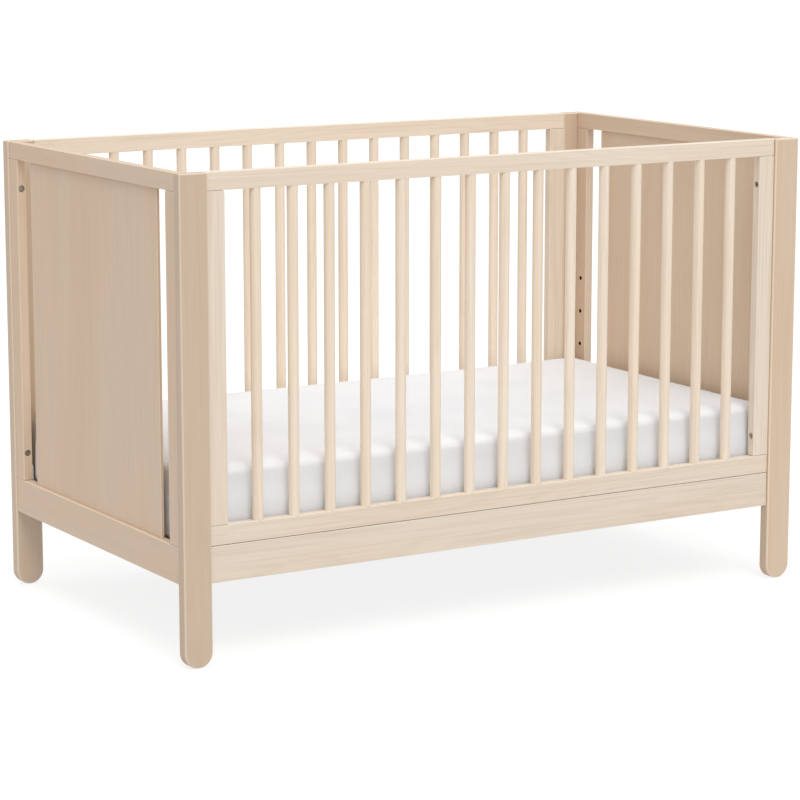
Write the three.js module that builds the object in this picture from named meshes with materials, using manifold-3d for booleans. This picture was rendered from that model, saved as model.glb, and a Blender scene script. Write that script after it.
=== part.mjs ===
// Full-size baby crib: four posts, two spindle side frames over apron boards, two end frames with
// a solid panel, and a height-adjustable mattress support that carries the mattress.
// Millimetres, +Z up, +X along the crib, the front faces -Y.
// The origin is on the floor, under the middle of the crib.
import * as THREE from 'three';
import { mergeVertices } from 'three/addons/utils/BufferGeometryUtils.js';
import Module from 'manifold-3d';

const wasm = await Module();
wasm.setup();

// --- Driving dimensions ---------------------------------------------------------------------

const LENGTH = 1368;              // over the legs, along X
const WIDTH = 760;                // over the legs, along Y
const HEIGHT = 889;               // floor to the top of the rails and legs
const GAP = 0.3;                  // clearance between pieces that touch

const LEG_WIDE = 56;              // a leg along X
const LEG_THICK = 24;             // a leg along Y
const FOOT_FACETS = 11;           // an odd number leaves a narrow flat under each round foot

const TOP_RAIL_HIGH = 33;         // top rails of the side and end frames
const SEAM_HEIGHT = 220;          // top of the aprons and of the end frames' bottom rails
const APRON_BOTTOM = 152;
const SIDE_THICK = 19;            // side frames, flush with the legs' inner faces
const SIDE_STILE_WIDE = 35.5;
const SIDE_BOTTOM_RAIL_HIGH = 36;
const END_THICK = 18;
const END_RECESS = 2.5;           // end frames, back from the legs' outer faces
const END_STILE_WIDE = 36.5;

const SPINDLES = 15;              // in each side frame
const SPINDLE_RADIUS = 10;
const TENON_RADIUS = 6;
const TENON_LONG = 12;

const PANEL_THICK = 6;
const PANEL_RECESS = 7;           // panel, back from the end frame's outer face
const PANEL_SLOT = 47;            // open slot between the panel and each end stile
const GROOVE_DEEP = 8;            // housing of the panel in its rails

const BOLT_HOLE_RADIUS = 3.5;
const COUNTERBORE_RADIUS = 6.25;
const COUNTERBORE_DEEP = 8;
const SIDE_BOLT_HEIGHTS = [296, 800];
const END_BOLT_HEIGHTS = [275, 799];
const BOLT_DEEP_IN_LEG = { side: 30, end: 18 };

const SUPPORT_LEVELS = 5;         // heights at which the mattress support can be bolted
const LOWEST_LEVEL = 234;
const LEVEL_STEP = 73;
const LEVEL_HOLE_DEEP = 14;

const MATTRESS_LONG = 1311;
const MATTRESS_WIDE = 692;
const MATTRESS_THICK = 140;
const MATTRESS_BOTTOM = 212;
const MATTRESS_CORNER = 22;
const MATTRESS_EDGE = 12;

const DECK_LONG = 1316;           // mattress support deck, a flat steel frame filled with straps
const DECK_WIDE = 706;
const DECK_BAR_WIDE = 25;
const DECK_BAR_HIGH = 10;
const STRAPS_ACROSS = 11;
const STRAPS_ALONG = 3;
const STRAP_WIDE = 30;
const STEEL = 2.5;                // thickness of the straps and of the hanger brackets
const BRACKET_WIDE = 32;
const BRACKET_ABOVE_BOLT = 16;
const BRACKET_SHELF = 62;         // how far a bracket reaches in under the deck

const ROUND_SIDES = 12;           // facets round a spindle, bolt or hole

// --- Derived places -------------------------------------------------------------------------

const legInnerX = LENGTH / 2 - LEG_WIDE;                  // side frames span between these
const legInnerY = WIDTH / 2 - LEG_THICK;                  // end frames span between these
const sideMiddleY = legInnerY + SIDE_THICK / 2;
const endOuterX = LENGTH / 2 - END_RECESS;
const endInnerX = endOuterX - END_THICK;
const endMiddleX = (endOuterX + endInnerX) / 2;
const endStileY = legInnerY - GAP - END_STILE_WIDE / 2;   // middle of an end stile
const topRailBottom = HEIGHT - TOP_RAIL_HIGH;
const sideRailTop = SEAM_HEIGHT + SIDE_BOTTOM_RAIL_HIGH;
const panelHalfWide = legInnerY - END_STILE_WIDE - PANEL_SLOT;
const spindleGap = (2 * (legInnerX - SIDE_STILE_WIDE) - 2 * SPINDLES * SPINDLE_RADIUS) / (SPINDLES + 1);
const spindlePitch = spindleGap + 2 * SPINDLE_RADIUS;

// --- Materials ------------------------------------------------------------------------------

const washedWood = new THREE.MeshStandardMaterial({ color: 0xe4d4c2, roughness: 0.6, metalness: 0 });
const tanWood = new THREE.MeshStandardMaterial({ color: 0xcdb8a2, roughness: 0.55, metalness: 0 });
const sheeting = new THREE.MeshStandardMaterial({ color: 0xf2f2f3, roughness: 0.95, metalness: 0 });
const paintedSteel = new THREE.MeshStandardMaterial({ color: 0xdcdcda, roughness: 0.45, metalness: 0.2 });

// --- Geometry helpers -----------------------------------------------------------------------

// A box that fills the space between two opposite corners.
function block(x0, x1, y0, y1, z0, z1) {
  const box = new THREE.BoxGeometry(x1 - x0, y1 - y0, z1 - z0);
  return box.translate((x0 + x1) / 2, (y0 + y1) / 2, (z0 + z1) / 2);
}

// A cylinder along one axis, from one place on that axis to another, through the given centre.
function rod(axis, radius, from, to, centre) {
  const cylinder = new THREE.CylinderGeometry(radius, radius, Math.abs(to - from), ROUND_SIDES);
  if (axis === 'x') cylinder.rotateZ(Math.PI / 2);
  if (axis === 'z') cylinder.rotateX(Math.PI / 2);
  const middle = new THREE.Vector3(...centre);
  middle[axis] = (from + to) / 2;
  return cylinder.translate(middle.x, middle.y, middle.z);
}

function solid(geometry) {
  const bare = geometry.clone();
  bare.deleteAttribute('normal');
  bare.deleteAttribute('uv');
  const merged = mergeVertices(bare, 1e-4);
  return new wasm.Manifold(new wasm.Mesh({
    numProp: 3,
    vertProperties: new Float32Array(merged.attributes.position.array),
    triVerts: new Uint32Array(merged.index.array),
  }));
}

function geometryOf(manifold) {
  const { vertProperties, triVerts } = manifold.getMesh();
  const geometry = new THREE.BufferGeometry();
  geometry.setAttribute('position', new THREE.BufferAttribute(vertProperties, 3));
  geometry.setIndex(new THREE.BufferAttribute(triVerts, 1));
  geometry.computeVertexNormals();
  return geometry;
}

function cut(geometry, tools) {
  return geometryOf(tools.reduce((body, tool) => body.subtract(solid(tool)), solid(geometry)));
}

function place(parent, name, geometry, material, position = [0, 0, 0]) {
  const mesh = new THREE.Mesh(geometry, material);
  mesh.name = name;
  mesh.position.set(...position);
  parent.add(mesh);
}

// --- Legs -----------------------------------------------------------------------------------

// Outline of a leg in X and Z: straight sides, square top, and a half-round foot.
function legOutline() {
  const radius = LEG_WIDE / 2;
  const facet = Math.PI / FOOT_FACETS;
  const footCentre = radius * Math.cos(facet / 2);
  const outline = new THREE.Shape();
  outline.moveTo(radius, HEIGHT);
  outline.lineTo(-radius, HEIGHT);
  for (let corner = 0; corner <= FOOT_FACETS; corner += 1) {
    const angle = Math.PI + corner * facet;
    outline.lineTo(radius * Math.cos(angle), footCentre + radius * Math.sin(angle));
  }
  outline.closePath();
  return outline;
}

// A leg stands in the corner that signX and signY name. Its bolt holes open towards the middle.
function addLeg(parent, name, signX, signY) {
  const x = signX * (LENGTH - LEG_WIDE) / 2;
  const y = signY * (WIDTH - LEG_THICK) / 2;
  const post = new THREE.ExtrudeGeometry(legOutline(), { depth: LEG_THICK, bevelEnabled: false });
  post.rotateX(Math.PI / 2).translate(0, LEG_THICK / 2, 0);

  const faceX = -signX * LEG_WIDE / 2;
  const faceY = -signY * LEG_THICK / 2;
  const sideHoles = SIDE_BOLT_HEIGHTS.map((z) => rod('x', BOLT_HOLE_RADIUS,
    faceX - signX, faceX + signX * BOLT_DEEP_IN_LEG.side, [0, signY * sideMiddleY - y, z]));
  const endHoles = END_BOLT_HEIGHTS.map((z) => rod('y', BOLT_HOLE_RADIUS,
    faceY - signY, faceY + signY * BOLT_DEEP_IN_LEG.end, [signX * endMiddleX - x, 0, z]));
  place(parent, name, cut(post, [...sideHoles, ...endHoles]), tanWood, [x, y, 0]);
}

// --- Side frames ----------------------------------------------------------------------------

// Places of the spindles along the frame, from its left to its right.
function spindlePlaces() {
  return Array.from({ length: SPINDLES }, (_, i) => (i - (SPINDLES - 1) / 2) * spindlePitch);
}

// A rail with a blind socket for each spindle, on its lower face or its upper one.
function socketedRail(bottom, top, socketFace) {
  const half = legInnerX - GAP;
  const rail = block(-half, half, -SIDE_THICK / 2, SIDE_THICK / 2, bottom, top);
  const into = socketFace === bottom ? 1 : -1;
  const sockets = spindlePlaces().map((x) => rod('z', TENON_RADIUS + GAP,
    socketFace - into, socketFace + into * (TENON_LONG + GAP), [x, 0, 0]));
  return cut(rail, sockets);
}

// A turned spindle with a round tenon at each end.
function spindle() {
  const low = sideRailTop + GAP;
  const high = topRailBottom - GAP;
  const profile = [
    [0, low - TENON_LONG],
    [TENON_RADIUS, low - TENON_LONG],
    [TENON_RADIUS, low],
    [SPINDLE_RADIUS, low],
    [SPINDLE_RADIUS, high],
    [TENON_RADIUS, high],
    [TENON_RADIUS, high + TENON_LONG],
    [0, high + TENON_LONG],
  ];
  const points = profile.map(([radius, z]) => new THREE.Vector2(radius, z));
  return new THREE.LatheGeometry(points, ROUND_SIDES).rotateX(Math.PI / 2).rotateZ(Math.PI / 2);
}

// A stile of a side frame, bored for the bolts that hold it to the leg beside it.
// innerSide is +1 where the middle of the frame lies towards +X.
function sideStile(innerSide) {
  const half = SIDE_STILE_WIDE / 2;
  const stile = block(-half, half, -SIDE_THICK / 2, SIDE_THICK / 2, sideRailTop + GAP, topRailBottom - GAP);
  const bores = SIDE_BOLT_HEIGHTS.flatMap((z) => [
    rod('x', BOLT_HOLE_RADIUS, -half - 1, half + 1, [0, 0, z]),
    rod('x', COUNTERBORE_RADIUS, innerSide * (half - COUNTERBORE_DEEP), innerSide * (half + 1), [0, 0, z]),
  ]);
  return cut(stile, bores);
}

// facing is 1 for the front frame and -1 for the rear one, which is the same frame turned round.
function addSideFrame(parent, side, facing) {
  const frame = new THREE.Group();
  frame.position.y = -facing * sideMiddleY;
  frame.rotation.z = facing > 0 ? 0 : Math.PI;
  parent.add(frame);

  place(frame, `${side}_top_rail`, socketedRail(topRailBottom, HEIGHT, topRailBottom), washedWood);
  place(frame, `${side}_bottom_rail`, socketedRail(SEAM_HEIGHT, sideRailTop, sideRailTop), washedWood);
  for (const hand of [-1, 1]) {
    const name = hand * facing < 0 ? 'left' : 'right';
    const x = hand * (legInnerX - GAP - SIDE_STILE_WIDE / 2);
    place(frame, `${side}_${name}_stile`, sideStile(-hand), washedWood, [x, 0, 0]);
  }
  spindlePlaces().forEach((x, index) => {
    const number = String(index + 1).padStart(2, '0');
    place(frame, `${side}_spindle_${number}`, spindle(), washedWood, [facing * x, 0, 0]);
  });

  const half = legInnerX - GAP;
  const apron = block(-half, half, -SIDE_THICK / 2, SIDE_THICK / 2, APRON_BOTTOM, SEAM_HEIGHT - GAP);
  place(frame, `${side}_apron`, apron, washedWood);
}

// --- End frames -----------------------------------------------------------------------------

// An end rail lies along Y. Its panel groove opens up or down, and stops at the panel's edges.
function endRail(bottom, top, grooveFace) {
  const half = legInnerY - GAP;
  const outerFace = -END_THICK / 2;
  const rail = block(outerFace, END_THICK / 2, -half, half, bottom, top);
  const into = grooveFace === bottom ? 1 : -1;
  const grooveStart = outerFace + PANEL_RECESS - GAP;
  const grooveEnds = [grooveFace - into, grooveFace + into * (GROOVE_DEEP + GAP)];
  const groove = block(grooveStart, grooveStart + PANEL_THICK + 2 * GAP,
    -panelHalfWide - GAP, panelHalfWide + GAP, Math.min(...grooveEnds), Math.max(...grooveEnds));
  return cut(rail, [groove]);
}

// A stile of an end frame. Bolts to the leg run through it along Y, and a row of blind holes
// in its inner face takes the mattress support. innerSide is +1 where the middle is at +Y.
function endStile(innerSide) {
  const half = END_STILE_WIDE / 2;
  const innerFace = END_THICK / 2;
  const stile = block(-END_THICK / 2, innerFace, -half, half, SEAM_HEIGHT + GAP, topRailBottom - GAP);
  const bores = END_BOLT_HEIGHTS.flatMap((z) => [
    rod('y', BOLT_HOLE_RADIUS, -half - 1, half + 1, [0, 0, z]),
    rod('y', COUNTERBORE_RADIUS, innerSide * (half - COUNTERBORE_DEEP), innerSide * (half + 1), [0, 0, z]),
  ]);
  const levels = Array.from({ length: SUPPORT_LEVELS }, (_, i) => LOWEST_LEVEL + i * LEVEL_STEP);
  const levelHoles = levels.map((z) => rod('x', BOLT_HOLE_RADIUS,
    innerFace - LEVEL_HOLE_DEEP, innerFace + 1, [0, 0, z]));
  return cut(stile, [...bores, ...levelHoles]);
}

// facing is 1 for the left end and -1 for the right one, which is the same frame turned round.
function addEndFrame(parent, end, facing) {
  const frame = new THREE.Group();
  frame.position.x = -facing * endMiddleX;
  frame.rotation.z = facing > 0 ? 0 : Math.PI;
  parent.add(frame);

  place(frame, `${end}_end_top_rail`, endRail(topRailBottom, HEIGHT, topRailBottom), tanWood);
  place(frame, `${end}_end_bottom_rail`, endRail(APRON_BOTTOM, SEAM_HEIGHT, SEAM_HEIGHT), tanWood);
  for (const hand of [-1, 1]) {
    const name = hand * facing < 0 ? 'front' : 'rear';
    const y = hand * (legInnerY - GAP - END_STILE_WIDE / 2);
    place(frame, `${end}_end_${name}_stile`, endStile(-hand), tanWood, [0, y, 0]);
  }

  const panelStart = -END_THICK / 2 + PANEL_RECESS;
  const panel = block(panelStart, panelStart + PANEL_THICK, -panelHalfWide, panelHalfWide,
    SEAM_HEIGHT - GROOVE_DEEP, topRailBottom + GROOVE_DEEP);
  place(frame, `${end}_end_panel`, panel, tanWood);
}

// --- Mattress support -----------------------------------------------------------------------

const deckTop = MATTRESS_BOTTOM - GAP;
const deckBottom = deckTop - DECK_BAR_HIGH;

// A frame of flat bars round a grid of thin straps that lie flush with the top of the bars.
// There is a window between each strap and the next.
function deck() {
  const openLong = DECK_LONG - 2 * DECK_BAR_WIDE;
  const openWide = DECK_WIDE - 2 * DECK_BAR_WIDE;
  const windowLong = (openLong - STRAPS_ACROSS * STRAP_WIDE) / (STRAPS_ACROSS + 1);
  const windowWide = (openWide - STRAPS_ALONG * STRAP_WIDE) / (STRAPS_ALONG + 1);
  const belowStraps = block(-openLong / 2, openLong / 2, -openWide / 2, openWide / 2,
    deckBottom - 1, deckTop - STEEL);
  const openings = [belowStraps];
  for (let column = 0; column <= STRAPS_ACROSS; column += 1) {
    for (let row = 0; row <= STRAPS_ALONG; row += 1) {
      const x = column * (windowLong + STRAP_WIDE) - openLong / 2;
      const y = row * (windowWide + STRAP_WIDE) - openWide / 2;
      openings.push(block(x, x + windowLong, y, y + windowWide, deckBottom - 2, deckTop + 1));
    }
  }
  const slab = block(-DECK_LONG / 2, DECK_LONG / 2, -DECK_WIDE / 2, DECK_WIDE / 2, deckBottom, deckTop);
  return cut(slab, openings);
}

// A hanger bracket, bent from strip: an upright bored for its bolt, and a shelf under the deck.
// It is drawn for the right end, with its upright's outer face at x = 0.
function hangerBracket() {
  const shelfTop = deckBottom - GAP;
  const shelfBottom = shelfTop - STEEL;
  const outline = new THREE.Shape([
    new THREE.Vector2(0, shelfBottom),
    new THREE.Vector2(0, LOWEST_LEVEL + BRACKET_ABOVE_BOLT),
    new THREE.Vector2(-STEEL, LOWEST_LEVEL + BRACKET_ABOVE_BOLT),
    new THREE.Vector2(-STEEL, shelfTop),
    new THREE.Vector2(-BRACKET_SHELF, shelfTop),
    new THREE.Vector2(-BRACKET_SHELF, shelfBottom),
  ]);
  const strip = new THREE.ExtrudeGeometry(outline, { depth: BRACKET_WIDE, bevelEnabled: false });
  strip.rotateX(Math.PI / 2).translate(0, BRACKET_WIDE / 2, 0);
  return cut(strip, [rod('x', BOLT_HOLE_RADIUS, -2 * STEEL, STEEL, [0, 0, LOWEST_LEVEL])]);
}

// A bracket stands in the corner that signX and signY name.
function addBracket(parent, name, signX, signY) {
  const holder = new THREE.Group();
  holder.position.set(signX * (endInnerX - GAP), signY * endStileY, 0);
  holder.rotation.z = signX > 0 ? 0 : Math.PI;
  parent.add(holder);
  place(holder, name, hangerBracket(), paintedSteel);
}

// --- Mattress -------------------------------------------------------------------------------

function mattress() {
  const x = MATTRESS_LONG / 2 - MATTRESS_EDGE;
  const y = MATTRESS_WIDE / 2 - MATTRESS_EDGE;
  const radius = MATTRESS_CORNER - MATTRESS_EDGE;
  const outline = new THREE.Shape();
  outline.absarc(x - radius, y - radius, radius, 0, Math.PI / 2);
  outline.absarc(radius - x, y - radius, radius, Math.PI / 2, Math.PI);
  outline.absarc(radius - x, radius - y, radius, Math.PI, 1.5 * Math.PI);
  outline.absarc(x - radius, radius - y, radius, 1.5 * Math.PI, 2 * Math.PI);
  return new THREE.ExtrudeGeometry(outline, {
    depth: MATTRESS_THICK - 2 * MATTRESS_EDGE,
    curveSegments: 3,
    bevelThickness: MATTRESS_EDGE,
    bevelSize: MATTRESS_EDGE,
    bevelSegments: 2,
  }).translate(0, 0, MATTRESS_EDGE);
}

// --- Assembly -------------------------------------------------------------------------------

const group = new THREE.Group();
for (const [sideName, signY] of [['front', -1], ['rear', 1]]) {
  for (const [endName, signX] of [['left', -1], ['right', 1]]) {
    const corner = `${sideName}_${endName}`;
    addLeg(group, `${corner}_leg`, signX, signY);
    addBracket(group, `${corner}_support_bracket`, signX, signY);
  }
}
addSideFrame(group, 'front', 1);
addSideFrame(group, 'rear', -1);
addEndFrame(group, 'left', 1);
addEndFrame(group, 'right', -1);
place(group, 'support_deck', deck(), paintedSteel);
place(group, 'mattress', mattress(), sheeting, [0, 0, MATTRESS_BOTTOM]);

export default group;
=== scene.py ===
"""Looks of the baby crib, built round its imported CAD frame.

Boards and posts are remade with eased edges, and all the wood has a grained finish. The bolts are set
in their counterbores, the mattress support gets its straps and rivets, and the mattress is a padded
block, swollen by cloth simulation, in a fitted sheet. Metres, +Z up, the crib's front faces -Y.
"""
import itertools
import math
import random

import bmesh
import bpy
import numpy as np
from mathutils import Matrix, Vector, noise


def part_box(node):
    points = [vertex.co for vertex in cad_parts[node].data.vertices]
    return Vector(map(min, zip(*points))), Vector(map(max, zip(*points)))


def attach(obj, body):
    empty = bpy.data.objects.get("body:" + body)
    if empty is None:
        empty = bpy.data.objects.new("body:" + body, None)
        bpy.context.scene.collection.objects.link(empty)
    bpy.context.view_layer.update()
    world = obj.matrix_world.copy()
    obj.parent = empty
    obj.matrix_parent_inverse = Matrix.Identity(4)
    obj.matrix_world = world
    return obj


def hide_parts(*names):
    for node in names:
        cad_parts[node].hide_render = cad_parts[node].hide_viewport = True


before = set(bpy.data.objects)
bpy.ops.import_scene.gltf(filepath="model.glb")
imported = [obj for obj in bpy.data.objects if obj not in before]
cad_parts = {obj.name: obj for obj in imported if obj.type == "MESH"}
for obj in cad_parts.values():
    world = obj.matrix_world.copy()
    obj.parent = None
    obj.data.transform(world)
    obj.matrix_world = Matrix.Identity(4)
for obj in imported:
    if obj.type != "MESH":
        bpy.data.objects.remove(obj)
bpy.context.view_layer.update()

SIDES = ("front", "rear")
ENDS = ("left", "right")
SPINDLES = [n for n in sorted(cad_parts) if "_spindle_" in n]

# Camera
CAMERA_PLACE = (-2.9174, -4.8057, 1.3928)
CAMERA_HEADING = math.radians(31.207)      # from +Y towards +X
CAMERA_PITCH = math.radians(-10.331)
CAMERA_LENS = 128.8                        # millimetres, on a sensor 36 mm wide

# Light. Strengths are what a white surface that faces the light gives back.
SKY_LOW = 0.20                             # at the horizon
SKY_RISE = 1.18                            # from there to straight overhead
KEY_STRENGTH = 0.37
KEY_AZIMUTH = math.radians(-12.0)          # from -Y towards +X
KEY_ELEVATION = math.radians(50.0)
KEY_ANGLE = math.radians(30.0)
GLOW_SEEN = 0.76                           # the floor's own glow to the camera, which fades its shadows
GLOW_CAST = 0.45                           # and as it lights the crib from below

# Eased edges and joint lines
BOARD_EASE = 0.0010
LEG_EASE = 0.0026
PANEL_EASE = 0.0008
EASE_STEPS = 3
JOINT_LINE = 0.00035                       # a board's ends stop this short, which shows as a dark line
SEAM_LINE = 0.0009                         # the same for the seam between bottom rail and apron

# How light each piece of wood is made, against the average. These factors are painted light and shade:
# they lighten or darken whole pieces as the light on them does, such as the front top rail over the
# apron below it.
LEG_PAINTED_SHADING = {
    "front_left_leg": 0.86, "front_right_leg": 0.98, "rear_left_leg": 0.89, "rear_right_leg": 0.90,
}
SPINDLE_PAINTED_SHADING = 1.10
BOARD_PAINTED_SHADING = {
    "front_top_rail": 1.02, "front_bottom_rail": 0.985, "front_apron": 0.975, "rear_top_rail": 1.08,
    "right_end_panel": 0.95, "right_end_top_rail": 0.97, "right_end_rear_stile": 0.95,
}
TONE_SPREAD = 0.012                        # the most that chance adds or takes away

# Holes and joints, as in the CAD model
BOLT_HOLE_RADIUS = 0.0035
COUNTERBORE_RADIUS = 0.00625
COUNTERBORE_DEEP = 0.008
SIDE_BOLT_HEIGHTS = (0.296, 0.800)
END_BOLT_HEIGHTS = (0.275, 0.799)
SUPPORT_LEVELS = [0.234 + 0.073 * step for step in range(5)]
LEVEL_HOLE_DEEP = 0.014
TENON_LONG = 0.012                         # at each end of a spindle, inside its node's box
PANEL_GAP = 0.0003                         # round the end panel, in its rails

# Bolts and threaded inserts
BOLT_RADIUS = 0.003
BOLT_SHANK = 0.030
BOLT_HEAD_RADIUS = 0.0047
BOLT_HEAD_HIGH = 0.005
BOLT_SUNK = 0.0016                         # from a counterbore's mouth to the bolt's head
BOLT_RIM = 0.0006                          # the chamfer round the head
KEY_RADIUS = 0.0027                        # the head's hex socket
KEY_DEEP = 0.003
INSERT_RADIUS = 0.0045                     # the threaded insert in each support hole
INSERT_BORE = 0.0032
CUT_PAST = 0.002                           # how far a cutter stands out of the face that it cuts
ROUND = 32                                 # facets round a bolt, hole or spindle

# Mattress, its fitted sheet, and the steel support
MATTRESS_CORNER = 0.022                    # radius of its upright corners
MATTRESS_EDGE = 0.012                      # radius of its upper and lower edges
SHEET_THICK = 0.0007
SHEET_TURN = 0.065                         # how far the sheet turns in under the mattress
UNDER_BAND = 0.004                         # points this near the mattress's bottom are its underside
SWELL_CAP = 0.003                          # the furthest that the simulation may move a point
SWELL_FRAMES = 14                          # how long the simulation runs
SWELL_SMOOTHING = 25                       # how many times its moves are evened out
BAR_WIDE = 0.025                           # the deck's outer bars
BAR_ROUND = 0.0022
STRAPS_ACROSS = 11
STRAPS_ALONG = 3
STRAP_WIDE = 0.030
STRAP_THICK = 0.0012
STRAP_EASE = 0.0004
STRAP_IN_BAR = 0.003
STEEL = 0.0025                             # the brackets' strip

mesh_numbers = itertools.count(1)          # gives each piece of wood its own stretch of grain


# --- Node helpers ---------------------------------------------------------------------------

def add_node(tree, kind, settings=None, **inputs):
    """Adds a node. An input is a number, a colour, or another node's output socket."""
    made = tree.nodes.new(kind)
    for key, value in (settings or {}).items():
        setattr(made, key, value)
    for key, value in inputs.items():
        socket = made.inputs[key.replace("_", " ")]
        if isinstance(value, bpy.types.NodeSocket):
            tree.links.new(value, socket)
        else:
            socket.default_value = value
    return made


def mix_colours(tree, factor, first, second, blend="MIX"):
    """Adds a colour mix. Each input is a value or another node's output socket."""
    made = tree.nodes.new("ShaderNodeMix")
    made.data_type = "RGBA"
    made.blend_type = blend
    for index, value in ((0, factor), (6, first), (7, second)):
        if isinstance(value, bpy.types.NodeSocket):
            tree.links.new(value, made.inputs[index])
        else:
            made.inputs[index].default_value = value
    return made.outputs[2]


def maths(tree, operation, first, second=0.0):
    """Adds a sum, product or other operation on numbers or output sockets."""
    made = tree.nodes.new("ShaderNodeMath")
    made.operation = operation
    for index, value in ((0, first), (1, second)):
        if isinstance(value, bpy.types.NodeSocket):
            tree.links.new(value, made.inputs[index])
        else:
            made.inputs[index].default_value = value
    return made.outputs[0]


def spread(tree, value, low, high):
    """Maps value from low..high to 0..1, smoothly and clamped."""
    made = add_node(tree, "ShaderNodeMapRange", {"interpolation_type": "SMOOTHSTEP"},
                    Value=value, From_Min=low, From_Max=high)
    return made.outputs["Result"]


def linear(red, green, blue):
    """A colour given as it looks on screen, 0 to 255, as a shader takes it."""
    channels = []
    for level in (red, green, blue):
        share = level / 255
        channels.append(share / 12.92 if share <= 0.04045 else ((share + 0.055) / 1.055) ** 2.4)
    return (*channels, 1.0)


def new_material(name):
    """A new material, its node tree and its shader node."""
    material = bpy.data.materials.new(name)
    material.use_nodes = True
    tree = material.node_tree
    return material, tree, tree.nodes["Principled BSDF"]


# --- Materials ------------------------------------------------------------------------------

def wood(name, pale, dark, warm, arris_highlight, figure, roughness):
    """A board's finish. The grain attribute gives the place along, across and through the board."""
    material, tree, shader = new_material(name)
    place = add_node(tree, "ShaderNodeAttribute", {"attribute_name": "grain"}).outputs["Vector"]

    def streaks(along, across, detail, distortion=0.0):
        stretched = add_node(tree, "ShaderNodeMapping", Vector=place, Scale=(along, across, across))
        texture = add_node(tree, "ShaderNodeTexNoise", Vector=stretched.outputs["Vector"],
                           Scale=1.0, Detail=detail, Roughness=0.55, Distortion=distortion)
        return texture.outputs["Fac"]

    growth = streaks(0.9, 11.0, 1.5, 0.3)
    rings = spread(tree, maths(tree, "SINE", maths(tree, "MULTIPLY", growth, 110.0)), 0.1, 1.0)
    bands = spread(tree, streaks(3.5, 260.0, 2.5), 0.42, 0.66)
    fibres = streaks(16.0, 1100.0, 2.0)
    pores = spread(tree, streaks(55.0, 1900.0, 1.0), 0.62, 0.74)
    patches = spread(tree, streaks(1.1, 10.0, 1.0), 0.38, 0.64)

    shade = maths(tree, "MULTIPLY", bands, 0.55)
    shade = maths(tree, "ADD", shade, maths(tree, "MULTIPLY", rings, 0.22))
    shade = maths(tree, "ADD", shade, maths(tree, "MULTIPLY", fibres, 0.30))
    colour = mix_colours(tree, maths(tree, "MULTIPLY", shade, figure), pale, dark)
    colour = mix_colours(tree, maths(tree, "MULTIPLY", patches, 0.6), colour, warm, "MULTIPLY")
    colour = mix_colours(tree, maths(tree, "MULTIPLY", pores, 0.4 * figure), colour, dark)
    # Painted highlight: eased edges are lightened towards the edge colour, as light catching them would.
    edges = add_node(tree, "ShaderNodeAttribute", {"attribute_name": "arris_highlight"}).outputs["Fac"]
    colour = mix_colours(tree, maths(tree, "MULTIPLY", edges, 0.8), colour, arris_highlight)
    # Painted light and shade: the board's brightness factor, with its random plank tone added in.
    tone_and_painted_shading = add_node(tree, "ShaderNodeAttribute", {"attribute_name": "tone_and_painted_shading"}).outputs["Fac"]
    toned = add_node(tree, "ShaderNodeHueSaturation", Color=colour, Value=tone_and_painted_shading)
    tree.links.new(toned.outputs["Color"], shader.inputs["Base Color"])

    rough = maths(tree, "ADD", maths(tree, "MULTIPLY", fibres, 0.16), roughness - 0.08)
    tree.links.new(rough, shader.inputs["Roughness"])
    relief = maths(tree, "SUBTRACT", maths(tree, "MULTIPLY", fibres, 0.5), pores)
    relief = maths(tree, "SUBTRACT", relief, maths(tree, "MULTIPLY", bands, 0.4))
    bump = add_node(tree, "ShaderNodeBump", Height=relief, Strength=0.3 * figure, Distance=0.0002)
    tree.links.new(bump.outputs["Normal"], shader.inputs["Normal"])
    shader.inputs["Specular IOR Level"].default_value = 0.35
    return material


def woven(name, pale, soft, scale, slub, sheen):
    """A plain weave with faint slubs and a soft sheen. scale is how fine the weave is."""
    material, tree, shader = new_material(name)
    place = add_node(tree, "ShaderNodeTexCoord").outputs["Object"]

    def threads(direction):
        wave = add_node(tree, "ShaderNodeTexWave", {"bands_direction": direction}, Vector=place,
                        Scale=scale, Distortion=1.2, Detail=1.0, Detail_Scale=0.6)
        return wave.outputs["Fac"]

    weave = maths(tree, "MAXIMUM", maths(tree, "MAXIMUM", threads("X"), threads("Y")), threads("Z"))
    slubs = add_node(tree, "ShaderNodeTexNoise", Vector=place, Scale=55.0, Detail=3.0).outputs["Fac"]
    broad = add_node(tree, "ShaderNodeTexNoise", Vector=place, Scale=6.0, Detail=2.0).outputs["Fac"]
    colour = mix_colours(tree, spread(tree, broad, 0.35, 0.7), pale, soft)
    colour = mix_colours(tree, maths(tree, "MULTIPLY", weave, 0.16), colour, linear(242, 243, 245))
    tree.links.new(colour, shader.inputs["Base Color"])
    rough = maths(tree, "ADD", maths(tree, "MULTIPLY", slubs, 0.12), 0.82)
    tree.links.new(rough, shader.inputs["Roughness"])
    relief = maths(tree, "MULTIPLY", weave, 0.5)
    relief = maths(tree, "ADD", relief, maths(tree, "MULTIPLY", slubs, slub))
    bump = add_node(tree, "ShaderNodeBump", Height=relief, Strength=0.3, Distance=0.0004)
    tree.links.new(bump.outputs["Normal"], shader.inputs["Normal"])
    shader.inputs["Sheen Weight"].default_value = sheen
    shader.inputs["Sheen Roughness"].default_value = 0.5
    shader.inputs["Specular IOR Level"].default_value = 0.2
    return material


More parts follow.
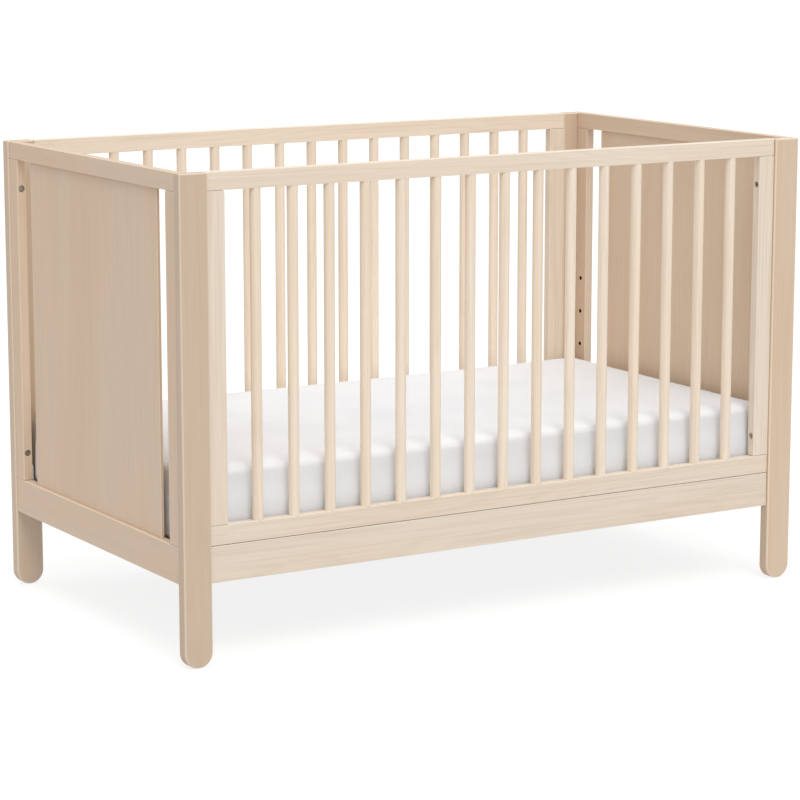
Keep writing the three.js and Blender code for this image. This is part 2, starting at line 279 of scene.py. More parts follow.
def quilted(name, pale, seam, diamond=0.060):
    """Mattress ticking, quilted in diamonds as wide as diamond says."""
    material, tree, shader = new_material(name)
    place = add_node(tree, "ShaderNodeTexCoord").outputs["Object"]
    parts = add_node(tree, "ShaderNodeSeparateXYZ", Vector=place).outputs
    slope = math.pi / diamond

    def ridges(operation):
        line = maths(tree, operation, parts["X"], parts["Y"])
        return maths(tree, "ABSOLUTE", maths(tree, "SINE", maths(tree, "MULTIPLY", line, slope)))

    pillow = maths(tree, "MINIMUM", ridges("ADD"), ridges("SUBTRACT"))
    stitched = spread(tree, pillow, 0.02, 0.10)
    tree.links.new(mix_colours(tree, stitched, seam, pale), shader.inputs["Base Color"])
    fine = add_node(tree, "ShaderNodeTexNoise", Vector=place, Scale=700.0, Detail=2.0).outputs["Fac"]
    rough = maths(tree, "ADD", maths(tree, "MULTIPLY", fine, 0.2), 0.55)
    tree.links.new(rough, shader.inputs["Roughness"])
    relief = maths(tree, "ADD", spread(tree, pillow, 0.0, 0.8), maths(tree, "MULTIPLY", fine, 0.05))
    bump = add_node(tree, "ShaderNodeBump", Height=relief, Strength=0.6, Distance=0.003)
    tree.links.new(bump.outputs["Normal"], shader.inputs["Normal"])
    return material


def metal(name, pale, dark, metallic, roughness, grit):
    """Painted or plated steel with a fine grit and slightly uneven gloss."""
    material, tree, shader = new_material(name)
    place = add_node(tree, "ShaderNodeTexCoord").outputs["Object"]
    fine = add_node(tree, "ShaderNodeTexNoise", Vector=place, Scale=grit, Detail=3.0).outputs["Fac"]
    broad = add_node(tree, "ShaderNodeTexNoise", Vector=place, Scale=14.0, Detail=4.0).outputs["Fac"]
    colour = mix_colours(tree, spread(tree, broad, 0.35, 0.7), pale, dark)
    tree.links.new(colour, shader.inputs["Base Color"])
    rough = maths(tree, "ADD", maths(tree, "MULTIPLY", fine, 0.2), roughness - 0.1)
    tree.links.new(rough, shader.inputs["Roughness"])
    bump = add_node(tree, "ShaderNodeBump", Height=fine, Strength=0.25, Distance=0.0002)
    tree.links.new(bump.outputs["Normal"], shader.inputs["Normal"])
    shader.inputs["Metallic"].default_value = metallic
    return material


# The lighter edge colour given to each wood is a painted highlight for its eased edges.
side_wood = wood("washed_wood", pale=linear(236, 222, 205), dark=linear(219, 202, 182),
                 warm=linear(252, 247, 241), arris_highlight=linear(241, 230, 214), figure=0.75, roughness=0.5)
end_wood = wood("tan_wood", pale=linear(223, 200, 176), dark=linear(210, 184, 159),
                warm=linear(252, 246, 240), arris_highlight=linear(241, 223, 201), figure=0.42, roughness=0.45)
cotton = woven("white_cotton", pale=linear(231, 233, 237), soft=linear(226, 229, 233),
               scale=330.0, slub=1.0, sheen=0.10)
elastic = woven("elastic_hem", pale=linear(236, 236, 236), soft=linear(228, 228, 230),
                scale=520.0, slub=0.4, sheen=0.05)
ticking = quilted("mattress_ticking", pale=linear(236, 236, 238), seam=linear(212, 214, 219))
painted_steel = metal("painted_steel", pale=linear(222, 222, 219), dark=linear(208, 208, 204),
                      metallic=0.0, roughness=0.42, grit=900.0)
bolt_steel = metal("bolt_steel", pale=linear(196, 188, 176), dark=linear(160, 151, 139),
                   metallic=1.0, roughness=0.36, grit=1500.0)
insert_steel = metal("insert_steel", pale=linear(52, 48, 43), dark=linear(34, 31, 28),
                     metallic=0.9, roughness=0.45, grit=1200.0)


# --- Mesh helpers ---------------------------------------------------------------------------

def add_grain(mesh, axis, tone_and_painted_shading=1.0):
    """Stores the grain attribute: each point's place along, across and through the board. It also stores
    how light the whole board is: its painted light and shade, plus a random plank tone."""
    chance = random.Random(next(mesh_numbers))
    shift = [chance.uniform(0.0, 40.0) for _ in range(3)]
    board_tone_and_shading = tone_and_painted_shading + chance.uniform(-TONE_SPREAD, TONE_SPREAD)
    order = {"x": (0, 1, 2), "y": (1, 0, 2), "z": (2, 0, 1)}[axis]
    places = [v.co[index] + move for v in mesh.vertices for index, move in zip(order, shift)]
    mesh.attributes.new("grain", "FLOAT_VECTOR", "POINT").data.foreach_set("vector", places)
    tones = [board_tone_and_shading] * len(mesh.vertices)
    mesh.attributes.new("tone_and_painted_shading", "FLOAT", "POINT").data.foreach_set("value", tones)


def mark_arris_highlight(mesh, low, high, ease):
    """Stores the mask of the painted edge highlight: 1 on the faces of an eased edge, and 0 elsewhere.
    """
    near = ease * 1.02
    values = []
    for face in mesh.polygons:
        on = [axis for axis in range(3)
              if min(face.center[axis] - low[axis], high[axis] - face.center[axis]) < near]
        values.append(1.0 if len(on) > 1 else 0.0)
    mesh.attributes.new("arris_highlight", "FLOAT", "FACE").data.foreach_set("value", values)


def place_piece(name, mesh, material, body, nodes=(), sharp=40.0):
    """Makes mesh a shaded piece that rides on a body and stands for CAD nodes."""
    mesh.materials.clear()
    mesh.materials.append(material)
    mesh.shade_smooth()
    mesh.set_sharp_from_angle(angle=math.radians(sharp))
    piece = bpy.data.objects.new(name, mesh)
    bpy.context.scene.collection.objects.link(piece)
    even = piece.modifiers.new("even_normals", "WEIGHTED_NORMAL")
    even.keep_sharp = True
    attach(piece, body)
    if nodes:
        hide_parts(*nodes)
    return piece


def mesh_from(bm, name):
    """Turns bm into a mesh and frees it."""
    mesh = bpy.data.meshes.new(name)
    bm.normal_update()
    bm.to_mesh(mesh)
    bm.free()
    return mesh


def box_mesh(low, high, ease, steps=EASE_STEPS):
    """A box between two corners with every edge eased."""
    bm = bmesh.new()
    size = Vector(high) - Vector(low)
    middle = (Vector(high) + Vector(low)) / 2
    placed = Matrix.Translation(middle) @ Matrix.Diagonal((*size, 1.0))
    bmesh.ops.create_cube(bm, size=1.0, matrix=placed)
    bmesh.ops.bevel(bm, geom=bm.edges[:], offset=ease, segments=steps, profile=0.5, affect="EDGES")
    return mesh_from(bm, "box")


def turned(profile, centre, axis, facets=ROUND):
    """A closed solid turned about an axis. profile is (radius, place along the axis) pairs."""
    bm = bmesh.new()
    rings = []
    for radius, along in profile:
        if radius == 0:
            rings.append([bm.verts.new((0.0, 0.0, along))])
            continue
        angles = [2 * math.pi * step / facets for step in range(facets)]
        rings.append([bm.verts.new((radius * math.cos(a), radius * math.sin(a), along)) for a in angles])
    for lower, upper in zip(rings, rings[1:]):
        for step in range(facets):
            after = (step + 1) % facets
            corners = [lower[step % len(lower)], lower[after % len(lower)],
                       upper[after % len(upper)], upper[step % len(upper)]]
            bm.faces.new(list(dict.fromkeys(corners)))
    turn = {"x": Matrix.Rotation(math.pi / 2, 4, "Y"),
            "y": Matrix.Rotation(-math.pi / 2, 4, "X"),
            "z": Matrix.Identity(4)}[axis]
    bmesh.ops.transform(bm, matrix=Matrix.Translation(centre) @ turn, verts=bm.verts)
    bmesh.ops.recalc_face_normals(bm, faces=bm.faces)
    return mesh_from(bm, "turned")


def cylinder(mouth, axis, sign, radius, start, stop, facets=ROUND):
    """A cylinder on the axis through mouth. It runs from start to stop, measured from mouth the way
    that sign points."""
    low, high = sorted((sign * start, sign * stop))
    return turned([(0.0, low), (radius, low), (radius, high), (0.0, high)], mouth, axis, facets)


def drill(mesh, cutters):
    """Cuts the cutter meshes out of mesh. All the meshes given are used up."""
    target = bpy.data.objects.new("target", mesh)
    bpy.context.scene.collection.objects.link(target)
    tools = []
    for cutter in cutters:
        tool = bpy.data.objects.new("tool", cutter)
        bpy.context.scene.collection.objects.link(tool)
        modifier = target.modifiers.new("cut", "BOOLEAN")
        modifier.operation = "DIFFERENCE"
        modifier.solver = "EXACT"
        modifier.object = tool
        tools.append(tool)
    graph = bpy.context.evaluated_depsgraph_get()
    graph.update()
    result = bpy.data.meshes.new_from_object(target.evaluated_get(graph))
    for thing in [target, *tools]:
        spare = thing.data
        bpy.data.objects.remove(thing)
        bpy.data.meshes.remove(spare)
    return result


def joined(meshes):
    """One mesh made of many, which are used up."""
    bm = bmesh.new()
    for mesh in meshes:
        bm.from_mesh(mesh)
        bpy.data.meshes.remove(mesh)
    return mesh_from(bm, "joined")


def board(node, axis, material, ease=BOARD_EASE, cutters=(), top_line=0.0):
    """Remakes a CAD board with eased edges, its holes and its grain along axis. Its top stops short
    by top_line."""
    low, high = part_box(node)
    index = "xyz".index(axis)
    low[index] += JOINT_LINE
    high[index] -= JOINT_LINE
    high.z -= top_line
    mesh = box_mesh(low, high, ease)
    if cutters:
        mesh = drill(mesh, cutters)
    # The board's brightness factor is painted light and shade.
    add_grain(mesh, axis, BOARD_PAINTED_SHADING.get(node, 1.0))
    mark_arris_highlight(mesh, low, high, ease)
    return place_piece(f"{node}_wood", mesh, material, "crib_frame", [node])


# --- Legs -----------------------------------------------------------------------------------

def leg(node):
    """A flat post with a half-round foot and well eased edges."""
    low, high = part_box(node)
    radius = (high.x - low.x) / 2
    middle = (high.x + low.x) / 2
    bm = bmesh.new()
    foot = [math.pi * (1 + step / ROUND) for step in range(ROUND + 1)]
    outline = [(high.x, high.z), (low.x, high.z)]
    outline += [(middle + radius * math.cos(a), low.z + radius * (1 + math.sin(a))) for a in foot]
    face = bm.faces.new([bm.verts.new((x, low.y, z)) for x, z in outline])
    grown = bmesh.ops.extrude_face_region(bm, geom=[face])
    moved = [item for item in grown["geom"] if isinstance(item, bmesh.types.BMVert)]
    bmesh.ops.translate(bm, vec=(0.0, high.y - low.y, 0.0), verts=moved)
    bmesh.ops.recalc_face_normals(bm, faces=bm.faces)
    rim = [e for e in bm.edges if abs(e.verts[0].co.y - e.verts[1].co.y) < 1e-6]
    upright = [e for e in bm.edges if e.verts[0].co.z == e.verts[1].co.z == high.z and e not in rim]
    bmesh.ops.bevel(bm, geom=rim + upright, offset=LEG_EASE, segments=EASE_STEPS, profile=0.5,
                    affect="EDGES", clamp_overlap=True)
    mesh = mesh_from(bm, node)
    # The post's brightness factor is painted light and shade.
    add_grain(mesh, "z", LEG_PAINTED_SHADING[node])
    # Painted highlight on the post's eased rim faces.
    rim_highlight = [1.0 if 0.1 < abs(face.normal.y) < 0.98 else 0.0 for face in mesh.polygons]
    mesh.attributes.new("arris_highlight", "FLOAT", "FACE").data.foreach_set("value", rim_highlight)
    return place_piece(f"{node}_wood", mesh, end_wood, "crib_frame", [node], sharp=50.0)


# --- Bolts ----------------------------------------------------------------------------------

def bolt_mesh(mouth, axis, sign, head_radius=BOLT_HEAD_RADIUS, sunk=BOLT_SUNK, head=BOLT_HEAD_HIGH,
              shank=BOLT_SHANK, key_deep=KEY_DEEP):
    """A hex-socket bolt. mouth is the middle of the opening that it sits in, and sign says which way
    along axis its head looks out."""
    top = -sunk
    under_head = top - head
    tip = under_head - shank
    profile = [(0.0, tip), (BOLT_RADIUS, tip), (BOLT_RADIUS, under_head), (head_radius, under_head),
               (head_radius, top - BOLT_RIM), (head_radius - BOLT_RIM, top), (0.0, top)]
    if sign < 0:
        profile = [(radius, -along) for radius, along in profile]
    body = turned(profile, mouth, axis)
    key_mouth = Vector(mouth)
    key_mouth["xyz".index(axis)] += sign * top
    return drill(body, [cylinder(key_mouth, axis, sign, KEY_RADIUS, -key_deep, key_deep, facets=6)])


def counterbore(mouth, axis, sign, through):
    """The cutters of a bolt's hole: a wide mouth and a narrow bore behind it."""
    return [cylinder(mouth, axis, sign, COUNTERBORE_RADIUS, -COUNTERBORE_DEEP, CUT_PAST),
            cylinder(mouth, axis, sign, BOLT_HOLE_RADIUS, -through, CUT_PAST / 2)]


# --- Side frames ----------------------------------------------------------------------------

def side_stile(node):
    """A stile with its two counterbored holes, which open towards the middle of the crib. Returns its
    bolts."""
    low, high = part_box(node)
    sign = 1 if low.x < 0 else -1
    mouth_x = high.x if sign > 0 else low.x
    mouths = [Vector((mouth_x, (low.y + high.y) / 2, z)) for z in SIDE_BOLT_HEIGHTS]
    through = high.x - low.x + CUT_PAST
    cutters = [c for mouth in mouths for c in counterbore(mouth, "x", sign, through)]
    board(node, "z", side_wood, cutters=cutters)
    return [bolt_mesh(mouth, "x", sign) for mouth in mouths]


def spindle(node):
    """A round spindle. Its ends run a little way into the rails, in place of its tenons."""
    low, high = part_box(node)
    radius = (high.x - low.x) / 2
    centre = ((low.x + high.x) / 2, (low.y + high.y) / 2, 0.0)
    into_rail = 0.0004
    rings = 12
    start = low.z + TENON_LONG - into_rail
    stop = high.z - TENON_LONG + into_rail
    profile = [(0.0, start)]
    profile += [(radius, start + (stop - start) * step / rings) for step in range(rings + 1)]
    profile += [(0.0, stop)]
    mesh = turned(profile, centre, "z")
    # The spindles are painted lighter, standing in for the light on them.
    add_grain(mesh, "z", SPINDLE_PAINTED_SHADING)
    # An empty painted edge highlight: the spindles get none.
    mesh.attributes.new("arris_highlight", "FLOAT", "FACE")
    return place_piece(f"{node}_wood", mesh, side_wood, "crib_frame", [node])


def side_frame(side):
    """Rails, apron and stiles. Returns the frame's bolts."""
    for part in ("top_rail", "bottom_rail"):
        board(f"{side}_{part}", "x", side_wood)
    board(f"{side}_apron", "x", side_wood, top_line=SEAM_LINE)
    return [bolt for end in ENDS for bolt in side_stile(f"{side}_{end}_stile")]


# --- End frames -----------------------------------------------------------------------------

def support_hole(mouth, sign):
    """The cutter for one support hole, and the threaded insert that lines it."""
    slip = 0.0001
    behind = 0.0005
    end_wall = 0.0015
    below_face = 0.0003
    cutter = cylinder(mouth, "x", sign, INSERT_RADIUS + slip, -LEVEL_HOLE_DEEP, CUT_PAST)
    sleeve = cylinder(mouth, "x", sign, INSERT_RADIUS, behind - LEVEL_HOLE_DEEP, -below_face)
    bore = cylinder(mouth, "x", sign, INSERT_BORE, behind + end_wall - LEVEL_HOLE_DEEP, CUT_PAST)
    return cutter, drill(sleeve, [bore])


def end_stile(node):
    """A stile with two counterbored bolt holes and the row of support holes in its inner face.
    Returns its bolts and its threaded inserts."""
    low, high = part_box(node)
    sign_y = 1 if low.y < 0 else -1
    mouth_y = high.y if sign_y > 0 else low.y
    mouths = [Vector(((low.x + high.x) / 2, mouth_y, z)) for z in END_BOLT_HEIGHTS]
    through = high.y - low.y + CUT_PAST
    cutters = [c for mouth in mouths for c in counterbore(mouth, "y", sign_y, through)]
    sign_x = 1 if low.x < 0 else -1
    face_x = high.x if sign_x > 0 else low.x
    holes = [support_hole((face_x, (low.y + high.y) / 2, z), sign_x) for z in SUPPORT_LEVELS]
    cutters += [cutter for cutter, _ in holes]
    board(node, "z", end_wood, cutters=cutters)
    return [bolt_mesh(mouth, "y", sign_y) for mouth in mouths], [insert for _, insert in holes]


def end_frame(end):
    """Rails, panel and stiles. Returns the frame's bolts and its threaded inserts."""
    panel_low, panel_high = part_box(f"{end}_end_panel")
    gap = Vector((PANEL_GAP, PANEL_GAP, PANEL_GAP))
    for part in ("top_rail", "bottom_rail"):
        groove = box_mesh(panel_low - gap, panel_high + gap, ease=PANEL_GAP / 3, steps=1)
        board(f"{end}_end_{part}", "y", end_wood, cutters=[groove])
    board(f"{end}_end_panel", "z", end_wood, ease=PANEL_EASE)
    bolts = []
    inserts = []
    for side in SIDES:
        stile_bolts, stile_inserts = end_stile(f"{end}_end_{side}_stile")
        bolts += stile_bolts
        inserts += stile_inserts
    return bolts, inserts


# --- Mattress support -----------------------------------------------------------------------

def rounded_outline(half_x, half_y, radius, steps=6):
    """Points round a rectangle with round corners, anticlockwise."""
    corners = [(1, 1, 0.0), (-1, 1, 0.5), (-1, -1, 1.0), (1, -1, 1.5)]
    points = []
    for sign_x, sign_y, turn in corners:
        centre = Vector((sign_x * (half_x - radius), sign_y * (half_y - radius)))
        angles = [math.pi * (turn + 0.5 * step / steps) for step in range(steps + 1)]
        points += [centre + radius * Vector((math.cos(a), math.sin(a))) for a in angles]
    return points


def deck_frame(low, high):
    """The deck's outer frame, a ring of flat tube with round corners and soft edges."""
    outer = rounded_outline(high.x, high.y, radius=0.016)
    inner = rounded_outline(high.x - BAR_WIDE, high.y - BAR_WIDE, radius=0.004)
    bm = bmesh.new()
    rings = [[bm.verts.new((p.x, p.y, z)) for p in points]
             for points, z in ((outer, low.z), (outer, high.z), (inner, high.z), (inner, low.z))]
    count = len(outer)
    for ring, following in zip(rings, rings[1:] + rings[:1]):
        for step in range(count):
            after = (step + 1) % count
            bm.faces.new((ring[step], ring[after], following[after], following[step]))
    bmesh.ops.recalc_face_normals(bm, faces=bm.faces)
    sharp = [e for e in bm.edges if e.calc_face_angle(0.0) > math.radians(60)]
    bmesh.ops.bevel(bm, geom=sharp, offset=BAR_ROUND, segments=3, profile=0.5, affect="EDGES")
    return mesh_from(bm, "deck_frame")


def rivet(place, up=1, radius=0.0035, height=0.001, sunk=0.0004):
    """A domed rivet head on place. up is 1 where it faces up, and -1 where it faces down."""
    steps = 4
    angles = [0.5 * math.pi * step / steps for step in range(steps)]
    dome = [(radius * math.cos(a), up * height * math.sin(a)) for a in angles]
    profile = [(0.0, -up * sunk), (radius, -up * sunk), *dome, (0.0, up * height)]
    return turned(profile, place, "z", facets=16)


def strap_places(low, high, count):
    """The middles of count straps spread evenly between the deck's bars."""
    free = (high - low - 2 * BAR_WIDE - count * STRAP_WIDE) / (count + 1)
    return [low + BAR_WIDE + free + STRAP_WIDE / 2 + step * (free + STRAP_WIDE) for step in range(count)]


def deck():
    """The frame, its straps let into the tubes, and a rivet through each crossing."""
    low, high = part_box("support_deck")
    inset = BAR_WIDE - STRAP_IN_BAR
    half = STRAP_WIDE / 2
    upper = high.z - 0.001
    lower = upper - STRAP_THICK - 0.0001
    across = strap_places(low.x, high.x, STRAPS_ACROSS)
    along = strap_places(low.y, high.y, STRAPS_ALONG)

    def strap(x0, x1, y0, y1, top):
        return box_mesh((x0, y0, top - STRAP_THICK), (x1, y1, top), STRAP_EASE)

    straps = [strap(x - half, x + half, low.y + inset, high.y - inset, upper) for x in across]
    straps += [strap(low.x + inset, high.x - inset, y - half, y + half, lower) for y in along]
    heads = []
    for x, y in itertools.product(across, along):
        heads.append(rivet((x, y, upper), 1))
        heads.append(rivet((x, y, lower - STRAP_THICK), -1))
    body = "mattress_support"
    place_piece("support_deck_frame", deck_frame(low, high), painted_steel, body,
                ["support_deck"])
    place_piece("support_straps", joined(straps), painted_steel, body)
    place_piece("support_rivets", joined(heads), bolt_steel, body)


def bent_strip(points, thick, bend, steps=5):
    """The outline of a strip bent at its middle point: both faces, with a round bend."""
    start, corner, end = (Vector(p) for p in points)
    first = (start - corner).normalized()
    second = (end - corner).normalized()
    inner_corner = corner + (first + second) * thick

    def arc(tip, radius):
        centre = tip + (first + second) * radius
        turns = [0.5 * math.pi * step / steps for step in range(steps + 1)]
        return [centre - second * radius * math.cos(a) - first * radius * math.sin(a) for a in turns]

    outside = [start] + arc(corner, bend + thick) + [end]
    inside = [end + first * thick] + arc(inner_corner, bend)[::-1] + [start + second * thick]
    return outside + inside


def bracket(node):
    """A hanger bracket bent from strip, with round tips, its bolt, and two rivets to the deck.
    Returns the bolt and the rivets."""
    bend = 0.0025
    tip_round = 0.006
    hole_radius = 0.0034
    head_high = 0.0027
    low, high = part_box(node)
    sign = 1 if low.x > 0 else -1
    wall_x = high.x if sign > 0 else low.x
    tip_x = low.x if sign > 0 else high.x
    middle_y = (low.y + high.y) / 2
    outline = bent_strip([(wall_x, high.z), (wall_x, low.z), (tip_x, low.z)], STEEL, bend)
    bm = bmesh.new()
    face = bm.faces.new([bm.verts.new((p.x, low.y, p.y)) for p in outline])
    grown = bmesh.ops.extrude_face_region(bm, geom=[face])
    moved = [item for item in grown["geom"] if isinstance(item, bmesh.types.BMVert)]
    bmesh.ops.translate(bm, vec=(0.0, high.y - low.y, 0.0), verts=moved)
    bmesh.ops.recalc_face_normals(bm, faces=bm.faces)

    def on_tip(edge):
        """True for the short edges at the strip's four outer corners."""
        middle = (edge.verts[0].co + edge.verts[1].co) / 2
        at_side = abs(middle.y - middle_y) > (high.y - low.y) / 3
        at_end = abs(middle.z - high.z) < 1e-6 or abs(middle.x - tip_x) < 1e-6
        return at_side and at_end and edge.calc_length() < 1.1 * STEEL

    tips = [e for e in bm.edges if on_tip(e)]
    bmesh.ops.bevel(bm, geom=tips, offset=tip_round, segments=5, profile=0.5, affect="EDGES")
    bolt_z = SUPPORT_LEVELS[0]
    hole = cylinder((wall_x, middle_y, bolt_z), "x", 1, hole_radius, -4 * STEEL, 4 * STEEL)
    mesh = drill(mesh_from(bm, node), [hole])
    place_piece(f"{node}_steel", mesh, painted_steel, "mattress_support", [node])
    head_at = (wall_x - sign * (STEEL + head_high), middle_y, bolt_z)
    bolt = bolt_mesh(head_at, "x", -sign, head_radius=0.006, sunk=0.0, head=head_high,
                     shank=LEVEL_HOLE_DEEP, key_deep=0.0018)
    feet = [rivet((wall_x - sign * inset, middle_y, low.z), -1, radius=0.004, height=0.0014)
            for inset in (0.020, 0.050)]
    return [bolt, *feet]


# --- Mattress -------------------------------------------------------------------------------

def grid_places(half, edge, corner, cell, steps=4):
    """Places from -half to half: close together over the round edge and corner, wider between."""
    start = [-half + edge * step / steps for step in range(steps)]
    if corner > edge:
        start += [-half + edge + (corner - edge) * step / steps for step in range(steps)]
    count = max(2, round(2 * (half - corner) / cell))
    middle = [-half + corner + 2 * (half - corner) * step / count for step in range(count + 1)]
    return start + middle + [-place for place in reversed(start)]


def rounded_block(low, high, corner, edge, cell=0.010):
    """A block of even quads with round upright corners and round upper and lower edges."""
    middle = (low + high) / 2
    half = (high - low) / 2
    xs = grid_places(half.x, edge, corner, cell)
    ys = grid_places(half.y, edge, corner, cell)
    zs = grid_places(half.z, edge, edge, cell)

    def to_round(first, second):
        """Carries a point of the unit square to the unit disc."""
        return first * math.sqrt(1 - second * second / 2), second * math.sqrt(1 - first * first / 2)

    def shaped(x, y, z):
        """Carries a point of the plain block's skin to the round one's."""
        side_x, side_y, side_z = (math.copysign(1.0, value) for value in (x, y, z))
        x, y, z = abs(x), abs(y), abs(z)
        inset = min(half.x - x, half.y - y)
        out = min(1.0, max(0.0, 1 - inset / edge))
        up = min(1.0, max(0.0, 1 - (half.z - z) / edge))
        round_out, round_up = to_round(out, up)
        if up > 0:
            z = half.z - edge * (1 - round_up)
        new_inset = edge * (1 - round_out) if out > 0 else inset
        past_x = (x - (half.x - corner)) / corner
        past_y = (y - (half.y - corner)) / corner
        if past_x > 0 and past_y > 0:
            share = (1 - new_inset / corner) / max(past_x, past_y)
            round_x, round_y = to_round(past_x * share, past_y * share)
            x = half.x - corner + corner * round_x
            y = half.y - corner + corner * round_y
        elif half.x - x <= half.y - y:
            x = half.x - new_inset
        else:
            y = half.y - new_inset
        return middle + Vector((side_x * x, side_y * y, side_z * z))

    bm = bmesh.new()
    corners = {}

    def vertex(x, y, z):
        key = (round(x, 7), round(y, 7), round(z, 7))
        if key not in corners:
            corners[key] = bm.verts.new(shaped(x, y, z))
        return corners[key]

    def skin(first, second, place):
        for a, b in zip(first, first[1:]):
            for c, d in zip(second, second[1:]):
                bm.faces.new((vertex(*place(a, c)), vertex(*place(b, c)),
                              vertex(*place(b, d)), vertex(*place(a, d))))

    for sign in (-1, 1):
        skin(xs, ys, lambda a, b: (a, b, sign * half.z))
        skin(xs, zs, lambda a, b: (a, sign * half.y, b))
        skin(ys, zs, lambda a, b: (sign * half.x, a, b))
    bmesh.ops.recalc_face_normals(bm, faces=bm.faces)
    return mesh_from(bm, "rounded_block")


def vertex_places(mesh):
    """An array of where the mesh's points are, one row for each."""
    places = np.empty(3 * len(mesh.vertices))
    mesh.vertices.foreach_get("co", places)
    return places.reshape(-1, 3)


def puffed_places(mesh, floor_z):
    """Where the points go when a cloth simulation blows the mesh out under pressure. The underside,
    at floor_z, stays put."""
    pad = bpy.data.objects.new("swelling", mesh)
    bpy.context.scene.collection.objects.link(pad)
    held = pad.vertex_groups.new(name="held")
    held.add([v.index for v in mesh.vertices if v.co.z < floor_z + UNDER_BAND], 1.0, "REPLACE")
    cloth = pad.modifiers.new("cover", "CLOTH")
    cloth.settings.quality = 3
    cloth.settings.tension_stiffness = 25
    cloth.settings.compression_stiffness = 25
    cloth.settings.shear_stiffness = 12
    cloth.settings.bending_stiffness = 8
    cloth.settings.use_pressure = True
    cloth.settings.uniform_pressure_force = 4
    cloth.settings.vertex_group_mass = "held"
    cloth.settings.effector_weights.gravity = 0
    cloth.collision_settings.use_collision = False
    cloth.point_cache.frame_start = 1
    cloth.point_cache.frame_end = SWELL_FRAMES
    for number in range(1, SWELL_FRAMES + 1):
        bpy.context.scene.frame_set(number)
    places = vertex_places(pad.evaluated_get(bpy.context.evaluated_depsgraph_get()).to_mesh())
    bpy.context.scene.frame_set(1)
    bpy.data.objects.remove(pad)
    return places


def evened(moves, mesh):
    """The moves of the mesh's points, each averaged with its neighbours' again and again."""
    pairs = np.empty(2 * len(mesh.edges), dtype=np.int64)
    mesh.edges.foreach_get("vertices", pairs)
    first, second = pairs.reshape(-1, 2).T
    share = np.bincount(pairs, minlength=len(moves)).reshape(-1, 1) + 1.0
    for _ in range(SWELL_SMOOTHING):
        total = moves.copy()
        np.add.at(total, first, moves[second])
        np.add.at(total, second, moves[first])
        moves = total / share
    return moves


def swell(mesh, floor_z):
    """Blows the stuffing out against its cover, evenly and by no more than SWELL_CAP."""
    before = vertex_places(mesh)
    moves = evened(puffed_places(mesh, floor_z) - before, mesh)
    lengths = np.linalg.norm(moves, axis=1, keepdims=True)
    moves *= np.minimum(1.0, SWELL_CAP / np.maximum(lengths, 1e-9))
    mesh.vertices.foreach_set("co", (before + moves).ravel())


def sheet_mesh(pad, low, high):
    """The fitted sheet: the pad's skin, less the middle of its underside, with tension creases
    near its corners and gathers towards its hem."""
    bm = bmesh.new()
    bm.from_mesh(pad)
    turn_x, turn_y = high.x - SHEET_TURN, high.y - SHEET_TURN

    def is_bare(face):
        middle = face.calc_center_median()
        return middle.z < low.z + UNDER_BAND and abs(middle.x) < turn_x and abs(middle.y) < turn_y

    def crease(place, height=0.0006, reach=0.09, folds=11.0):
        """A fan of creases that spreads from the nearest corner and dies out over reach."""
        inset = Vector((high.x - abs(place.x), high.y - abs(place.y)))
        hand = math.copysign(1.0, place.x * place.y)
        fan = math.sin(folds * math.atan2(inset.y, inset.x) + 4.0 * hand)
        return height * math.exp(-inset.length / reach) * fan

    def drape(place, height=0.0007, fineness=5.0):
        """The broad unevenness of the top."""
        return height * noise.noise(place * fineness) if place.z > high.z - 0.01 else 0.0

    def gather(place, height=0.0009, fineness=260.0, start=0.055, full=0.005):
        """Upright gathers, which grow on the way down from start to full above the bottom."""
        if place.z < low.z + UNDER_BAND:
            return 0.0
        low_down = min(1.0, max(0.0, (low.z + start - place.z) / (start - full)))
        wave = (place.x + place.y) * fineness + 3.0 * noise.noise(place * 9.0)
        return height * low_down * math.sin(wave)

    bmesh.ops.delete(bm, geom=[f for f in bm.faces if is_bare(f)], context="FACES")
    bm.normal_update()
    off_pad = 0.0002                           # holds the sheet just clear of the pad
    for v in bm.verts:
        v.co += v.normal * (off_pad + crease(v.co) + drape(v.co) + gather(v.co))
    return mesh_from(bm, "fitted_sheet")


def hem(low, high):
    """The sheet's elastic hem, a flat cord that lies against the mattress's underside."""
    half_wide = 0.004
    half_thick = 0.00042
    hang = 0.0006
    ripple = 0.0007
    spacing = 0.006
    facets = 8
    points = rounded_outline(high.x - SHEET_TURN, high.y - SHEET_TURN, radius=0.02, steps=8)
    loop = []
    for first, second in zip(points, points[1:] + points[:1]):
        parts = max(1, int((second - first).length / spacing))
        loop += [first.lerp(second, step / parts) for step in range(parts)]
    angles = [2 * math.pi * k / facets for k in range(facets)]
    section = [(half_wide * math.cos(a), half_thick * math.sin(a)) for a in angles]
    bm = bmesh.new()
    rings = []
    for number, point in enumerate(loop):
        ahead = (loop[(number + 1) % len(loop)] - loop[number - 1]).normalized()
        side = Vector((-ahead.y, ahead.x))
        middle = point + side * ripple * math.sin(number * 1.9)
        ring = [(middle.x + side.x * u, middle.y + side.y * u, low.z - hang + w) for u, w in section]
        rings.append([bm.verts.new(place) for place in ring])
    for ring, following in zip(rings, rings[1:] + rings[:1]):
        for k in range(facets):
            after = (k + 1) % facets
            bm.faces.new((ring[k], ring[after], following[after], following[k]))
    bmesh.ops.recalc_face_normals(bm, faces=bm.faces)
    return mesh_from(bm, "hem")


